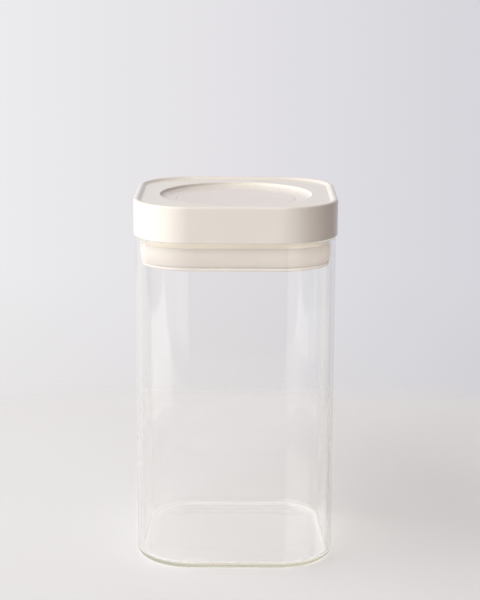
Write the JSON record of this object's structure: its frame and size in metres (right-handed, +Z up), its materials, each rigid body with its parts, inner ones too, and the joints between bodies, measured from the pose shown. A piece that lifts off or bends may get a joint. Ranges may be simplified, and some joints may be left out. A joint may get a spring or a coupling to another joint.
{
  "type": "lidded glass canister",
  "caption": "Square glass canister with rounded corners and a white press-to-seal lid, for keeping dry food.",
  "frame": {"origin": "centre of the base, in the plane that the jar stands on", "axes": "+Z up along the jar, -Y towards the front face, +X to the right"},
  "size_m": [0.1, 0.1, 0.182],
  "materials": {
    "jar_glass": "clear, fire-polished rim",
    "lid_plastic": "warm white, glossy",
    "button_plastic": "warm white, satin gloss",
    "plug_plastic": "warm white, fine matte",
    "acetal": "natural white, slippery",
    "silicone": "milky translucent silicone",
    "steel": "bright stainless steel"
  },
  "bodies": {
    "jar": {"glass_jar": "jar_glass"},
    "lid": {"lid_cover": "lid_plastic", "plug_frame": "plug_plastic", "bottom_cover": "plug_plastic", "gasket": "silicone", "return_spring": "steel", "latch_bracket": "acetal", "latch_screw": "steel", "frame_screws": "steel"},
    "button": {"push_button": "button_plastic", "cam_plunger": "acetal", "button_screws": "steel"},
    "latch": {"latch_pin": "steel"},
    "pusher_front": {"pusher_front": "acetal"},
    "pusher_right": {"pusher_right": "acetal"},
    "pusher_back": {"pusher_back": "acetal"},
    "pusher_left": {"pusher_left": "acetal"}
  },
  "joints": [
    {"name": "lid_lift", "type": "slide", "parent": "jar", "child": "lid", "axis": [0, 0, 1], "range_m": [0, 0.06]},
    {"name": "button_press", "type": "slide", "parent": "lid", "child": "button", "axis": [0, 0, 1], "range_m": [0, 0.008], "deforming": ["return_spring"]},
    {"name": "pusher_front_slide", "type": "slide", "parent": "lid", "child": "pusher_front", "axis": [0, -1, 0], "range_m": [-0.0016, 0]},
    {"name": "pusher_right_slide", "type": "slide", "parent": "lid", "child": "pusher_right", "axis": [1, 0, 0], "range_m": [-0.0016, 0]},
    {"name": "pusher_back_slide", "type": "slide", "parent": "lid", "child": "pusher_back", "axis": [0, 1, 0], "range_m": [-0.0016, 0]},
    {"name": "pusher_left_slide", "type": "slide", "parent": "lid", "child": "pusher_left", "axis": [-1, 0, 0], "range_m": [-0.0016, 0]},
    {"name": "latch_pin_swing", "type": "hinge", "parent": "lid", "child": "latch", "pos_m": [0, -0.0015, 0.1569], "axis": [0, 1, 0], "range_deg": [-28, 0]}
  ],
  "couplings": [
    {"joint": "pusher_front_slide", "follows": "button_press", "ratio": -0.2},
    {"joint": "pusher_right_slide", "follows": "button_press", "ratio": -0.2},
    {"joint": "pusher_back_slide", "follows": "button_press", "ratio": -0.2},
    {"joint": "pusher_left_slide", "follows": "button_press", "ratio": -0.2}
  ]
}
